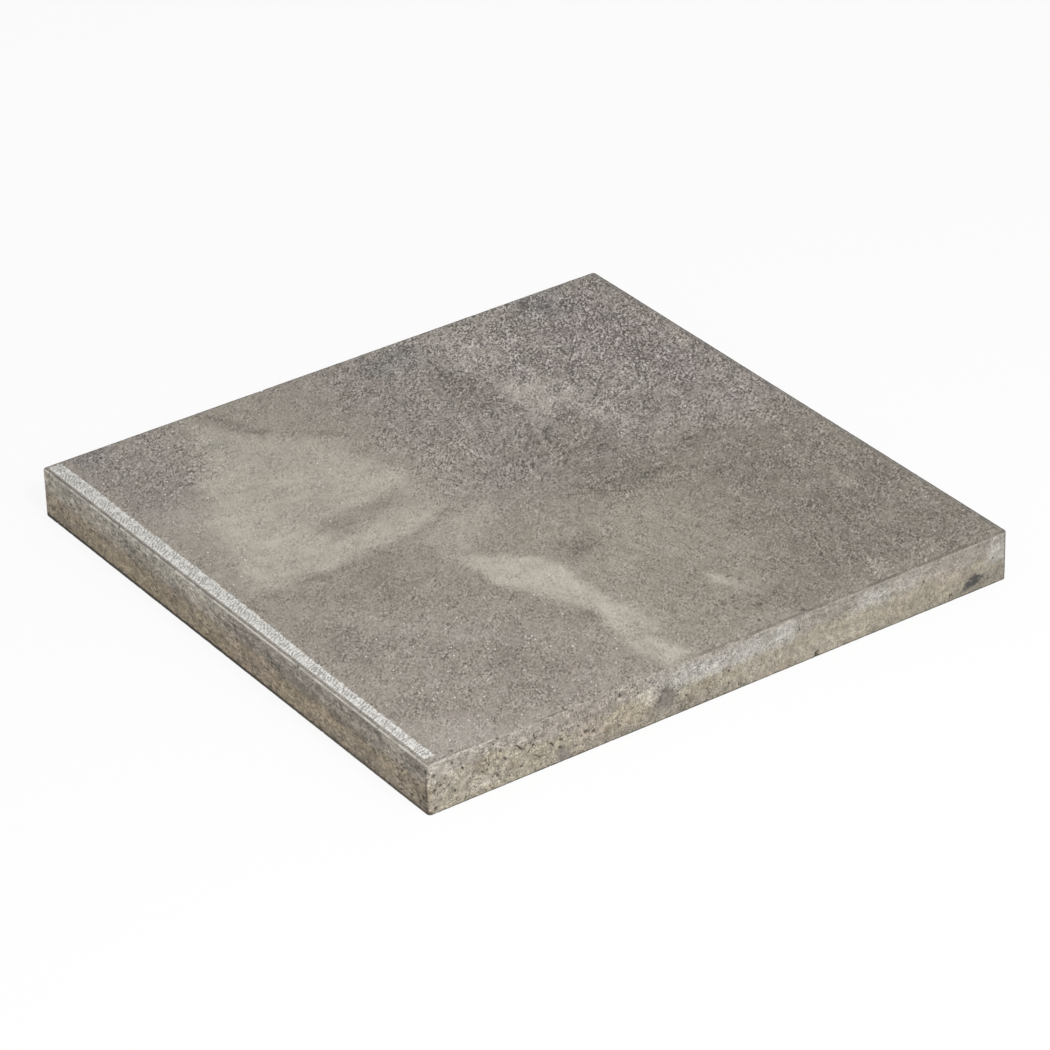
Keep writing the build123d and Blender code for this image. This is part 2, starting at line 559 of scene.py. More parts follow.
    # lip outside the band: a thin line of painted shade, where a small step would be, then the worn arris
    along = cloud(tree, point, 14.0, 4.0, 0.65)
    lip = fade(tree, front, 5.0, 3.6, 0.0, 0.2)
    colour = mixTint(tree, lip, colour, tones["slate"])
    grooveShade = times(tree, fade(tree, front, 2.7, 2.0), fade(tree, along, 0.4, 0.6, 0.35, 0.9))
    grooveShade = times(tree, grooveShade, fade(tree, parts["X"], 0.0, 120.0, 1.0, 0.4))
    colour = mixTint(tree, grooveShade, colour, tones["rim"])
    worn = times(tree, fade(tree, front, 1.5, 1.0), fade(tree, along, 0.62, 0.42, 0.4, 0.95))
    colour = mixTint(tree, worn, colour, tones["arris"])
    colour = mixTint(tree, band, colour, tooled)

    # thin dark lines at the far edges, doubled on the +Y side
    shaky = times(tree, ragged, 1.3)
    leftGap = plus(tree, plus(tree, slabHalf.x / mm, parts["X"]), shaky)
    backGap = plus(tree, minus(tree, slabHalf.y / mm, parts["Y"]), shaky)
    colour = mixTint(tree, fade(tree, backGap, 5.0, 3.6, 0.0, 0.3), colour, tones["slate"])
    second = sums(tree, "ABSOLUTE", minus(tree, backGap, 4.0))
    colour = mixTint(tree, fade(tree, second, 1.0, 0.2, 0.0, 0.4), colour, tones["rim"])
    farLine = fade(tree, sums(tree, "MINIMUM", leftGap, backGap), 2.3, 0.9, 0.0, 0.9)
    rightGap = plus(tree, minus(tree, slabHalf.x / mm, parts["X"]), shaky)
    rightLine = times(tree, fade(tree, rightGap, 3.4, 2.3), fade(tree, parts["Y"], -45.0, -5.0))
    rightLine = times(tree, rightLine, fade(tree, along, 0.38, 0.62, 0.25, 0.75))
    farLine = sums(tree, "MAXIMUM", farLine, rightLine)
    colour = mixTint(tree, times(tree, farLine, minus(tree, 1.0, band)), colour,
                     tones["rim"])
    # painted shade inside the pits and nicks
    hollowShade = put(tree, "ShaderNodeAttribute", attribute_name="hollowShade").outputs["Fac"]
    colour = mixTint(tree, times(tree, hollowShade, walkingFace["pitTint"]), colour, tones["speckShade"])
    feed(tree, shader.inputs["Base Color"], colour)

    feed(tree, shader.inputs["Roughness"], fade(tree, sand.outputs["Fine"], -0.4, 0.4, 0.9, 0.72))
    bump = put(tree, "ShaderNodeBump")
    bump.inputs["Distance"].default_value = walkingFace["sandRelief"] * mm
    feed(tree, bump.inputs["Strength"], times(tree, fineShare, 0.75, clamp=True))
    carved = times(tree, times(tree, scratches, band), walkingFace["strokeCarving"])
    feed(tree, bump.inputs["Height"], plus(tree, sand.outputs["Relief"], carved))
    feed(tree, shader.inputs["Normal"], bump.outputs["Normal"])
    print("walking face finish:", len(tree.nodes), "nodes")
    return finish


# Sides and underside: the core, the greyer facing above it, and stains, as corners in mm along and up
castSide = {
    "tones": {
        "core": (0.278, 0.249, 0.193),
        "coreOchre": (0.312, 0.27, 0.2),
        "corePink": (0.312, 0.266, 0.22),
        "coreGrey": (0.228, 0.204, 0.166),
        "coreLight": (0.415, 0.38, 0.322),
        "facing": (0.335, 0.303, 0.268),
        "facingCold": (0.325, 0.308, 0.284),
        "facingDark": (0.206, 0.182, 0.154),
        "mauve": (0.172, 0.153, 0.135),
        "rust": (0.2, 0.163, 0.12),
        "umber": (0.33, 0.258, 0.172),
        "bloom": (0.47, 0.458, 0.43),
        "slate": (0.056, 0.054, 0.05),
        # line: dark of the cracks and corner lines, and the painted shade at the foot of the sides
        "line": (0.03, 0.026, 0.021),
        # pit: painted shade, inside the pits and in the dark specks
        "pit": (0.065, 0.059, 0.048),
        # flake: bright sand flake with a painted glint
        "flake": (0.6, 0.575, 0.53),
        "arris": (0.52, 0.49, 0.44),
    },
    # tone, strength, softness, corners; along is Y on the +X side
    "rightStains": [
        ("facingCold", 0.75, 4, [(-75, 22), (60, 22), (60, 36), (-75, 37)]),
        ("facingCold", 0.35, 5, [(60, 26), (250, 27), (250, 38), (60, 38)]),
        ("coreLight", 0.95, 4, [(-82, 18), (-62, 18), (-58, 31), (-80, 34)]),
        ("facingCold", 0.55, 5, [(230, 17), (248, 17), (248, 38), (234, 38)]),
        ("facingDark", 0.3, 6, [(-130, 26), (250, 27), (250, 40), (-130, 40)]),
        ("bloom", 0.45, 5, [(-45, 22), (-10, 20), (2, 32), (-40, 37)]),
        ("bloom", 0.35, 5, [(8, 20), (28, 20), (30, 33), (10, 34)]),
        ("bloom", 0.5, 5, [(40, 24), (58, 24), (58, 37), (42, 38)]),
        ("bloom", 0.4, 5, [(108, 23), (142, 23), (142, 35), (110, 36)]),
        ("bloom", 0.3, 5, [(150, 23), (168, 23), (168, 34), (150, 34)]),
        ("bloom", 0.3, 5, [(230, 18), (247, 18), (247, 32), (234, 32)]),
        ("facingDark", 0.45, 4, [(85, 28), (120, 28), (120, 38), (85, 38)]),
        ("facingDark", 0.4, 4, [(180, 28), (228, 28), (228, 38), (180, 38)]),
        ("coreLight", 0.25, 7, [(-250, 8), (-170, 6), (-170, 34), (-250, 36)]),
        ("coreLight", 0.8, 3, [(-216, 5), (-194, 5), (-194, 11), (-214, 12)]),
        ("coreOchre", 0.6, 4, [(-208, 17), (-190, 17), (-188, 31), (-206, 31)]),
        ("coreGrey", 0.7, 4, [(-62, 4), (-38, 4), (-40, 19), (-58, 24)]),
        ("mauve", 1.1, 5, [(-63, 4), (-46, 3), (-45, 21), (-60, 27)]),
        ("coreGrey", 0.6, 4, [(200, 1), (247, 1), (247, 17), (210, 16)]),
        ("slate", 1.25, 2.4, [(206, 4), (222, 4.5), (231, 12), (219, 15)]),
        ("slate", 0.9, 1.6, [(209, 4.5), (217, 5), (221, 10), (213, 10)]),
        ("mauve", 0.9, 4, [(-146, 1), (-133, 1), (-134, 10), (-144, 10)]),
        ("rust", 1.2, 3, [(-110, 3), (-98, 3), (-99, 13), (-108, 13)]),
        ("rust", 0.9, 3, [(-84, 4), (-74, 4), (-74, 15), (-82, 14)]),
        ("rust", 0.9, 3, [(-37, 4), (-27, 4), (-27, 13), (-36, 13)]),
        ("rust", 0.8, 3, [(-23, 8), (-12, 8), (-12, 18), (-22, 18)]),
        ("rust", 0.8, 3, [(46, 1), (58, 1), (57, 9), (48, 9)]),
        ("rust", 0.7, 3, [(-186, 8), (-176, 8), (-176, 18), (-185, 18)]),
        ("rust", 0.7, 3, [(-214, 20), (-204, 20), (-204, 30), (-213, 30)]),
        ("corePink", 0.9, 6, [(-130, 4), (-104, 4), (-108, 26), (-128, 26)]),
        ("coreOchre", 0.9, 6, [(-98, 3), (-68, 3), (-72, 24), (-94, 24)]),
        ("facingDark", 0.5, 4, [(-164, 26), (-110, 24), (-82, 37), (-160, 37)]),
        ("facingDark", 0.8, 3, [(222, 3), (244, 3), (246, 13), (230, 11)]),
        ("corePink", 0.7, 4, [(186, 18), (204, 18), (204, 27), (188, 27)]),
        ("coreGrey", 0.95, 5, [(-125, 0), (20, 0), (20, 9), (-125, 9)]),
        ("coreGrey", 0.7, 3, [(125, 0), (250, 0), (250, 5), (125, 4)]),
        ("coreLight", 0.3, 6, [(14, 2), (125, 2), (125, 15), (14, 15)]),
        ("coreLight", 0.9, 0.8, [(-249.6, 3), (-247.2, 3), (-247.2, 38), (-249.6, 38)]),
        ("line", 0.8, 0.6, [(247.7, 1), (249.7, 1), (249.7, 39), (247.7, 39)]),
        ("line", 0.6, 0.5, [(-193.2, 40), (-192.0, 40), (-198.8, 31.5), (-199.8, 31.8)]),
        ("line", 0.35, 0.45, [(-191, 32), (-176, 30.8), (-176, 31.8), (-191, 33)]),
    ],
    # along is X on the -Y side
    "frontStains": [
        ("corePink", 0.3, 3, [(-256, -4), (256, -4), (256, 44), (-256, 44)]),
        ("coreLight", 0.8, 5, [(-250, 29), (-20, 29), (-20, 39), (-250, 39)]),
        ("coreLight", 0.7, 5, [(-128, 28), (-10, 28), (-10, 39), (-128, 39)]),
        ("coreLight", 0.55, 4, [(-250, 24), (0, 24), (0, 39), (-250, 39)]),
        ("coreLight", 0.5, 3, [(-240, 26), (-204, 26), (-204, 32), (-240, 32)]),
        ("facingDark", 0.9, 2, [(-203, 27), (-188, 27), (-188, 32), (-203, 32)]),
        ("coreLight", 0.9, 1.2, [(-186, 24.5), (-179, 24.5), (-179, 27.5), (-186, 27.5)]),
        ("facingDark", 0.55, 4, [(-135, 20), (-108, 20), (-108, 33), (-135, 33)]),
        ("facingDark", 0.75, 3, [(-73, 20), (-52, 20), (-52, 28), (-73, 28)]),
        ("facingDark", 1.5, 1.5, [(-12, 27.8), (42, 26.6), (42, 29.6), (-12, 30.8)]),
        ("facingDark", 1.1, 3, [(46, 21), (60, 21), (78, 30), (55, 32)]),
        ("facingDark", 1.4, 3, [(84, 20), (122, 18), (122, 27), (84, 28)]),
        ("facingDark", 1.4, 3, [(126, 18), (178, 17), (178, 25), (126, 27)]),
        ("facingDark", 0.7, 4, [(222, 28), (249, 26), (249, 39), (226, 39)]),
        ("coreOchre", 0.8, 6, [(-180, 3), (120, 3), (120, 15), (-180, 15)]),
        ("coreOchre", 0.65, 6, [(60, 2), (249, 2), (249, 20), (60, 20)]),
        ("coreGrey", 0.6, 6, [(-250, 2), (-200, 2), (-190, 12), (-250, 14)]),
        ("corePink", 0.9, 5, [(5, 4), (62, 4), (62, 23), (5, 24)]),
        ("corePink", 0.8, 6, [(120, 3), (225, 3), (225, 14), (120, 14)]),
        ("slate", 1.0, 2.5, [(130, 0), (143, 0), (139, 8), (133, 8)]),
        ("slate", 1.1, 2.5, [(240, 6), (248, 6), (247, 17), (241, 17)]),
        ("facingDark", 0.9, 2, [(224, 5), (232, 5), (232, 11), (225, 11)]),
        ("umber", 0.5, 6, [(-256, -4), (256, -4), (256, 24), (-256, 20)]),
        ("coreGrey", 0.4, 6, [(125, 0), (250, 0), (250, 14), (125, 12)]),
        ("line", 0.6, 0.8, [(246.2, 2), (248.6, 2), (248.6, 38), (246.6, 38)]),
    ],
    "stirring": (11.0, (14.0, 14.0, 6.0), 4.0),  # size and reach in mm, and detail, of its noise
    "facingFoot": 26.0,  # mm up the side where the facing starts
    "mottle": 1.3,  # light and dark of the coarser sand; there is more of it towards -Y
    "sandTone": 0.45,
    "coarseTone": 0.7,
    "nearGain": 1.36,  # strength of the grain on the -Y side and the near half of the +X side
    "sparkle": 0.4,
    "flakeGlintTint": 0.7,  # how far the painted glints of bright flakes, and the painted shade of specks and pits, hide the colour
    "speckShadeTint": 0.5,
    "pitTint": 0.8,
    "sandRelief": 0.4,
}


def makeCastSide(patchGroup, sandGroup):
    finish, tree = newFinish("castSide")
    shader = tree.nodes["Principled BSDF"]
    tones = tinted(castSide["tones"])
    point = millimetres(tree)
    stir = stirred(tree, point, *castSide["stirring"])
    parts = split(tree, point)
    bent = split(tree, stir)

    # mottled core
    hues = put(tree, "ShaderNodeSeparateColor")
    feed(tree, hues.inputs["Color"], cloud(tree, point, 8.0, 4.0, 0.65, "Color"))
    ochre = fade(tree, hues.outputs["Red"], 0.48, 0.68, 0.0, 0.75)
    pink = fade(tree, hues.outputs["Green"], 0.5, 0.7, 0.0, 0.75)
    grey = fade(tree, hues.outputs["Blue"], 0.48, 0.68, 0.0, 0.75)
    colour = mixTint(tree, ochre, tones["core"], tones["coreOchre"])
    colour = mixTint(tree, pink, colour, tones["corePink"])
    colour = mixTint(tree, grey, colour, tones["coreGrey"])

    # greyer facing in the upper third, streaky along the side, with a wavy foot
    wave = swell(tree, point, 34.0, 5.0, 0.6)
    above = minus(tree, parts["Z"], times(tree, wave, 40.0))
    above = minus(tree, above, castSide["facingFoot"])
    drawn = vectorSums(tree, "MULTIPLY", stir, (0.14, 0.14, 1.0))
    streak = cloud(tree, drawn, 3.2, 4.0, 0.6)
    facing = mixTint(tree, fade(tree, streak, 0.42, 0.68), tones["facing"], tones["facingDark"])
    colour = mixTint(tree, fade(tree, above, -3.0, 4.0, 0.0, 0.85), colour, facing)

    # stains on the two sides that show
    blotch = fade(tree, cloud(tree, point, 4.5, 4.0, 0.65), 0.3, 0.66, 0.5, 1.15)
    streaky = fade(tree, cloud(tree, drawn, 2.6, 3.0, 0.65), 0.32, 0.62, 0.35, 1.25)
    onRight = fade(tree, parts["X"], slabHalf.x / mm - 4.0, slabHalf.x / mm - 2.0)
    onFront = fade(tree, parts["Y"], 4.0 - slabHalf.y / mm, 2.0 - slabHalf.y / mm)
    rightBreak = times(tree, onRight, blotch)
    frontBreak = times(tree, onFront, streaky)
    for key, axis, breaks in (("rightStains", "Y", rightBreak), ("frontStains", "X", frontBreak)):
        charts = []
        for source in (parts, bent):
            chart = put(tree, "ShaderNodeCombineXYZ")
            feed(tree, chart.inputs["X"], source[axis])
            feed(tree, chart.inputs["Y"], source["Z"])
            chart.inputs["Z"].default_value = 1.0
            charts.append(chart.outputs[0])
        still, loose = charts
        for name, strength, softness, corners in castSide[key]:
            chart = still if softness < 1 else loose
            mask = patchMask(tree, patchGroup, chart, corners, softness, strength)
            mask = times(tree, mask, breaks, clamp=True)
            colour = mixTint(tree, mask, colour, tones[name])

    sand = put(tree, "ShaderNodeGroup", node_tree=sandGroup)
    grainPoint = vectorSums(tree, "MULTIPLY", point, (0.6, 1.0, 1.0))
    feed(tree, sand.inputs["Point"], grainPoint)
    sand.inputs["Sparkle"].default_value = castSide["sparkle"]
    lumps = swell(tree, grainPoint, 4.5, 3.0, 0.6)
    swing = weighted(tree, (
        (sand.outputs["Fine"], castSide["sandTone"]),
        (sand.outputs["Coarse"], castSide["coarseTone"]),
        (lumps, castSide["mottle"]),
    ))
    swing = times(tree, swing, fade(tree, parts["Y"], 60.0, -40.0, 1.0, castSide["nearGain"]))
    colour = vectorSums(tree, "SCALE", colour, sums(tree, "MAXIMUM", plus(tree, swing, 1.0), 0.3))
    # bright flakes, painted as glints
    flakeGlints = times(tree, sand.outputs["Flake"], castSide["flakeGlintTint"])
    colour = mixTint(tree, flakeGlints, colour, tones["flake"])
    # dark specks, painted as the shade of tiny pits
    speckShades = times(tree, sand.outputs["SpeckShade"], castSide["speckShadeTint"])
    colour = mixTint(tree, speckShades, colour, tones["pit"])

    # worn arris of the -Y side, and a line of painted shade at the foot of the sides, where the bottom
    # arris turns under towards the floor, thicker on the -Y side
    ragged = swell(tree, point, 5.0, 3.0)
    faceGap = minus(tree, slabHigh.z / mm, parts["Z"])
    worn = times(tree, fade(tree, faceGap, 1.3, 0.7), onFront)
    worn = times(tree, worn, fade(tree, ragged, -0.1, 0.1, 0.3, 0.9))
    colour = mixTint(tree, worn, colour, tones["arris"])
    low = plus(tree, parts["Z"], times(tree, ragged, 2.5))
    low = minus(tree, low, times(tree, onFront, 1.9))
    gapX = minus(tree, slabHalf.x / mm, sums(tree, "ABSOLUTE", parts["X"]))
    gapY = minus(tree, slabHalf.y / mm, sums(tree, "ABSOLUTE", parts["Y"]))
    planGap = sums(tree, "MINIMUM", gapX, gapY)
    # painted shade under the bottom arris and where the slab meets the floor
    foot = times(tree, fade(tree, low, 1.9, 0.9, 0.0, 0.92), fade(tree, planGap, 4.0, 1.5))
    foot = times(tree, foot, fade(tree, parts["X"], 0.0, 150.0, 1.0, 0.75))
    colour = mixTint(tree, foot, colour, tones["line"])
    # painted shade inside the pits and nicks
    hollowShade = put(tree, "ShaderNodeAttribute", attribute_name="hollowShade").outputs["Fac"]
    colour = mixTint(tree, times(tree, hollowShade, castSide["pitTint"]), colour, tones["pit"])
    feed(tree, shader.inputs["Base Color"], colour)
    shader.inputs["Roughness"].default_value = 0.88
    bump = put(tree, "ShaderNodeBump")
    bump.inputs["Distance"].default_value = castSide["sandRelief"] * mm
    feed(tree, bump.inputs["Height"], sand.outputs["Relief"])
    feed(tree, shader.inputs["Normal"], bump.outputs["Normal"])
    print("cast side finish:", len(tree.nodes), "nodes")
    return finish


# Slab mesh: lengths in metres unless a note says otherwise
slab = {
    "cornerRadius": 3.0 * mm,
    "faceArris": 1.2 * mm,
    "bedArris": 1.0 * mm,
    "gridPitch": 10.0 * mm,
    "bedPitch": 22.0 * mm,
    "facePitch": 5.2 * mm,
    "roughPitch": 2.6 * mm,
    "sidePitch": 2.6 * mm,
    "edgePitch": 1.3 * mm,
    "footPitch": 1.5 * mm,
    "bandPitch": 0.72 * mm,
    "edgeReach": 3.0 * mm,
    "seed": 5,
    # height and length in mm, and place in the noise, of the casting's unevenness
    "faceWave": (0.10, 60.0, 0.0),
    "sandWave": (0.3, 7.0, 3.1),
    "bedWave": (0.2, 40.0, 7.7),
    "sideWaves": [(0.22, 15.0, 1.9), (0.16, 4.2, 5.2)],
    "edgeWaves": [(0.12, 9.0, 2.4), (0.16, 2.8, 8.8)],
    "faceFinish": 0.75 * mm,  # how far down the walking face's finish goes
    # pits: reach and depth in radii, the step of a long pit in radii, and growth of those on the face
    "pitReach": 1.7,
    "pitDepth": 1.1,
    "cutStep": 1.1,
    "facePitGrowth": 1.2,
    # stray pits and nicks: how far they lie from the middle, least radius and what chance adds, in mm
    "strayPits": (240, 0.6, 1.0),
    "strayNicks": (242, 0.8, 0.7),
    "strayUnder": (235, 0.9, 1.8),
    "nicksPerEdge": 7,
    "pitsInFront": 12,
    "pitsPerFarSide": 22,
    "pitsUnder": 20,
    # along, up and radius in mm, on the +X side
    "rightPits": [
        (-244.8, 30.2, 1.4), (-244.4, 18.4, 1.8), (-242.4, 23.3, 1.0), (-239.2, 21.2, 0.9),
        (-230.1, 34.8, 1.1), (-244.4, 4.3, 1.6), (-202.9, 26.0, 1.2), (-200.3, 21.6, 0.9),
        (-190.8, 28.8, 1.2), (-186.6, 20.8, 1.4), (-193.6, 10.3, 1.3), (-164.0, 23.3, 1.1),
        (-166.0, 25.3, 1.0), (-142.0, 12.3, 1.4), (-141.2, 18.2, 1.1), (-120.0, 16.3, 1.8),
        (-124.0, 14.5, 1.0), (-113.8, 14.5, 1.6), (-126.7, 23.5, 1.0), (-92.0, 9.9, 1.5),
        (-91.5, 33.9, 1.3), (-76.6, 30.2, 1.0), (-35.8, 12.7, 0.9), (1.0, 18.2, 1.0), (1.0, 8.2, 1.2),
        (63.0, 28.3, 1.0), (77.8, 2.2, 2.0), (78.9, 4.6, 1.3), (173.8, 25.9, 1.2), (198.4, 5.0, 1.5),
        (236.9, 22.2, 1.0), (232.5, 6.6, 1.1), (-196.5, 36.3, 0.9), (-199.0, 33.2, 1.0),
    ],
    # long pits there: along and up at each end, and radius, in mm
    "rightCuts": [
        (-177.2, 27.6, -173.8, 23.2, 0.65), (-179.3, 25.0, -178.3, 25.6, 0.7),
        (-163.4, 31.3, -162.8, 28.4, 0.65), (-162.6, 27.4, -160.8, 28.2, 0.75),
        (-162.6, 14.6, -158.6, 10.8, 0.45), (-158.6, 10.8, -154.8, 11.4, 0.4),
        (-149.4, 18.6, -147.4, 15.7, 0.7), (-198.0, 10.9, -194.4, 13.2, 0.45),
        (-228.4, 13.0, -228.1, 11.5, 0.8), (-174.7, 10.1, -173.4, 9.8, 0.75),
        (-222.2, 28.5, -221.2, 27.0, 0.8), (-206.6, 18.7, -204.6, 17.3, 0.6),
        (-168.2, 19.4, -167.0, 20.1, 0.75),
    ],
    # along, up and radius in mm, on the -Y side
    "frontPits": [
        (243.8, 12.5, 1.6), (241.0, 8.6, 1.1), (226.2, 17.5, 1.0), (230.0, 7.5, 1.2), (220.0, 21.2, 0.9),
        (237.5, 18.8, 0.9), (215.0, 25.0, 0.8), (-200.0, 15.0, 0.9), (-217.5, 12.5, 0.9),
    ],
    # along X, along Y and radius in mm, on the walking face
    "facePits": [
        (110.0, 79.0, 1.3), (202.1, 39.6, 1.3), (206.7, 37.9, 1.1), (215.0, 33.8, 1.6),
        (205.0, 29.2, 1.2), (209.6, 26.7, 1.2), (202.9, 25.4, 1.2), (177.9, 34.6, 1.2),
        (167.5, 27.1, 1.1), (178.8, 12.9, 1.0), (198.3, 16.3, 0.9), (216.0, 15.4, 0.9),
        (185.8, 59.6, 1.2), (177.9, 55.8, 1.0), (208.3, 51.7, 1.0), (220.4, 50.8, 1.1),
        (210.4, 56.7, 1.1), (232.0, 59.0, 1.0), (236.7, 37.0, 1.0), (229.6, 31.7, 1.2),
        (243.8, 70.4, 1.1), (158.3, 42.0, 1.0), (171.0, 67.9, 0.9), (193.3, -2.9, 0.9),
    ],
    # nicks in the +X side's top and bottom edges: along Y, height, radius in mm
    "rightNicks": [
        (-192.6, 40.0, 1.5), (77.6, 0.0, 1.0), (-150.7, 0.0, 0.9), (-158.5, 0.0, 0.8), (226.0, 0.0, 0.8),
        (-243.4, 0.0, 1.0),
    ],
}


def wantedPitch(point, pits):
    sideGap = min(slabHalf.x - abs(point.x), slabHalf.y - abs(point.y))
    faceGap = slabHigh.z - point.z
    bedGap = point.z - slabLow.z
    frontGap = point.y + slabHalf.y
    arris = 1.6 * mm
    if bedGap < flush and sideGap > arris:
        wanted = slab["bedPitch"]
    elif faceGap < flush and sideGap > arris:
        lip = (walkingFace["lipWidth"] - 0.6) * mm
        if lip < frontGap < lip + (walkingFace["bandWide"] + 1.6) * mm:
            wanted = slab["bandPitch"]
        elif sideGap < slab["edgeReach"]:
            wanted = slab["edgePitch"]
        elif point.x < 20 * mm and point.y > -20 * mm:
            wanted = slab["roughPitch"]
        else:
            wanted = slab["facePitch"]
    elif faceGap < slab["edgeReach"]:
        wanted = slab["edgePitch"]
    elif bedGap < slab["edgeReach"]:
        wanted = slab["footPitch"]
    else:
        wanted = slab["sidePitch"]
    number, gap = pits["tree"].find(point)[1:]
    radius = pits["list"][number][2]
    if gap < slab["pitReach"] * radius:
        wanted = min(wanted, max(0.5 * radius, 0.42 * mm))
    return wanted


def blankSlab():
    bm = bmesh.new()
    bmesh.ops.create_cube(bm, size=1.0)
    bmesh.ops.scale(bm, vec=slabHigh - slabLow, verts=bm.verts)
    bmesh.ops.translate(bm, vec=slabMiddle, verts=bm.verts)
    upright = [edge for edge in bm.edges if abs(edge.verts[0].co.z - edge.verts[1].co.z) > slabHalf.z]
    bmesh.ops.bevel(bm, geom=upright, offset=slab["cornerRadius"], segments=4, profile=0.5,
                    affect="EDGES", material=-1)
    for height, easing in ((slabHigh.z, slab["faceArris"]), (slabLow.z, slab["bedArris"])):
        rim = [edge for edge in bm.edges if all(abs(vert.co.z - height) < 0.01 * mm for vert in edge.verts)]
        bmesh.ops.bevel(bm, geom=rim, offset=easing, segments=3, profile=0.5, affect="EDGES", material=-1)
    for axis in range(3):
        cuts = round(2 * slabHalf[axis] / slab["gridPitch"])
        for step in range(1, cuts):
            place = Vector((0.0, 0.0, 0.0))
            facing = Vector((0.0, 0.0, 0.0))
            place[axis] = slabLow[axis] + step * 2 * slabHalf[axis] / cuts
            facing[axis] = 1.0
            everything = bm.verts[:] + bm.edges[:] + bm.faces[:]
            bmesh.ops.bisect_plane(bm, geom=everything, dist=0.001 * mm, plane_co=place, plane_no=facing)
    return bm


def refine(bm, pits, rounds):
    for number in range(rounds):
        longEdges = []
        for edge in bm.edges:
            length = edge.calc_length()
            if length < 0.5 * mm:
                continue
            middle = (edge.verts[0].co + edge.verts[1].co) / 2
            if length > wantedPitch(middle, pits):
                longEdges.append(edge)
        if not longEdges:
            break
        bmesh.ops.subdivide_edges(bm, edges=longEdges, cuts=1, use_grid_fill=True)
        many = [face for face in bm.faces if len(face.verts) > 4]
        bmesh.ops.triangulate(bm, faces=many)
    print("refined in", number, "rounds:", len(bm.faces), "faces")


def placePits():
    chance = random.Random(slab["seed"])
    pits = []
    for along, up, radius in slab["rightPits"]:
        pits.append((Vector((slabHalf.x, along * mm, up * mm)), Vector((1, 0, 0)), radius * mm))
    for startAlong, startUp, endAlong, endUp, radius in slab["rightCuts"]:
        start = Vector((slabHalf.x, startAlong * mm, startUp * mm))
        end = Vector((slabHalf.x, endAlong * mm, endUp * mm))
        steps = max(1, round((end - start).length / (slab["cutStep"] * radius * mm)))
        for step in range(steps + 1):
            pits.append((start.lerp(end, step / steps), Vector((1, 0, 0)), radius * mm))
    for along, up, radius in slab["frontPits"]:
        pits.append((Vector((along * mm, -slabHalf.y, up * mm)), Vector((0, -1, 0)), radius * mm))
    for across, along, radius in slab["facePits"]:
        place = Vector((across * mm, along * mm, slabHigh.z))
        pits.append((place, Vector((0, 0, 1)), slab["facePitGrowth"] * radius * mm))
    for along, up, radius in slab["rightNicks"]:
        outward = Vector((1, 0, 1 if up > 0 else -1)).normalized()
        pits.append((Vector((slabHalf.x, along * mm, up * mm)), outward, radius * mm))
    sides = (
        (Vector((0, -1, 0)), Vector((1, 0, 0)), slab["pitsInFront"]),
        (Vector((-1, 0, 0)), Vector((0, 1, 0)), slab["pitsPerFarSide"]),
        (Vector((0, 1, 0)), Vector((1, 0, 0)), slab["pitsPerFarSide"]),
    )
    for outward, along, count in sides:
        for number in range(count):
            reach, least, more = slab["strayPits"]
            run = chance.uniform(-reach, reach) * mm
            up = 3 * mm + 34 * mm * chance.random() ** 1.3
            radius = (least + more * chance.random() ** 2.5) * mm
            place = outward * slabHalf.x + along * run + Vector((0, 0, up))
            pits.append((place, outward, radius))
        for height, lean in ((slabHigh.z, 1), (slabLow.z, -1)):
            for number in range(slab["nicksPerEdge"]):
                reach, least, more = slab["strayNicks"]
                run = chance.uniform(-reach, reach) * mm
                radius = (least + more * chance.random() ** 2) * mm
                place = outward * slabHalf.x + along * run + Vector((0, 0, height))
                pits.append((place, (outward + Vector((0, 0, lean))).normalized(), radius))
    for number in range(slab["pitsUnder"]):
        reach, least, more = slab["strayUnder"]
        place = Vector((chance.uniform(-reach, reach) * mm, chance.uniform(-reach, reach) * mm, slabLow.z))
        pits.append((place, Vector((0, 0, -1)), (least + more * chance.random() ** 2) * mm))
    tree = kdtree.KDTree(len(pits))
    for number, pit in enumerate(pits):
        tree.insert(pit[0], number)
    tree.balance()
    return {"list": pits, "tree": tree}


def smoothStep(low, high, value):
    share = min(max((value - low) / (high - low), 0.0), 1.0)
    return share * share * (3 - 2 * share)


def ripple(point, size, shift=0.0):
    return noise.noise(point / size + Vector((shift, shift * 0.7, shift * 1.3)))


def dent(point, height, size, shift):
    return height * mm * max(0.0, ripple(point, size * mm, shift))


# how far the cast surface lies below the mould's, before chips and pits
def castDip(point):
    sideGap = min(slabHalf.x - abs(point.x), slabHalf.y - abs(point.y))
    faceGap = slabHigh.z - point.z
    bedGap = point.z - slabLow.z
    if faceGap < flush and sideGap > 1.5 * mm:
        coarse = smoothStep(40 * mm, -60 * mm, point.x) * smoothStep(-60 * mm, 40 * mm, point.y)
        return dent(point, *slab["faceWave"]) + coarse * dent(point, *slab["sandWave"])
    if bedGap < flush and sideGap > 1.5 * mm:
        return dent(point, *slab["bedWave"])
    dip = sum(dent(point, *wave) for wave in slab["sideWaves"])
    edge = min(faceGap, bedGap)
    worn = smoothStep(2.2 * mm, 0.4 * mm, edge)
    dip *= 1.0 - 0.7 * worn
    return dip + worn * sum(dent(point, *wave) for wave in slab["edgeWaves"])


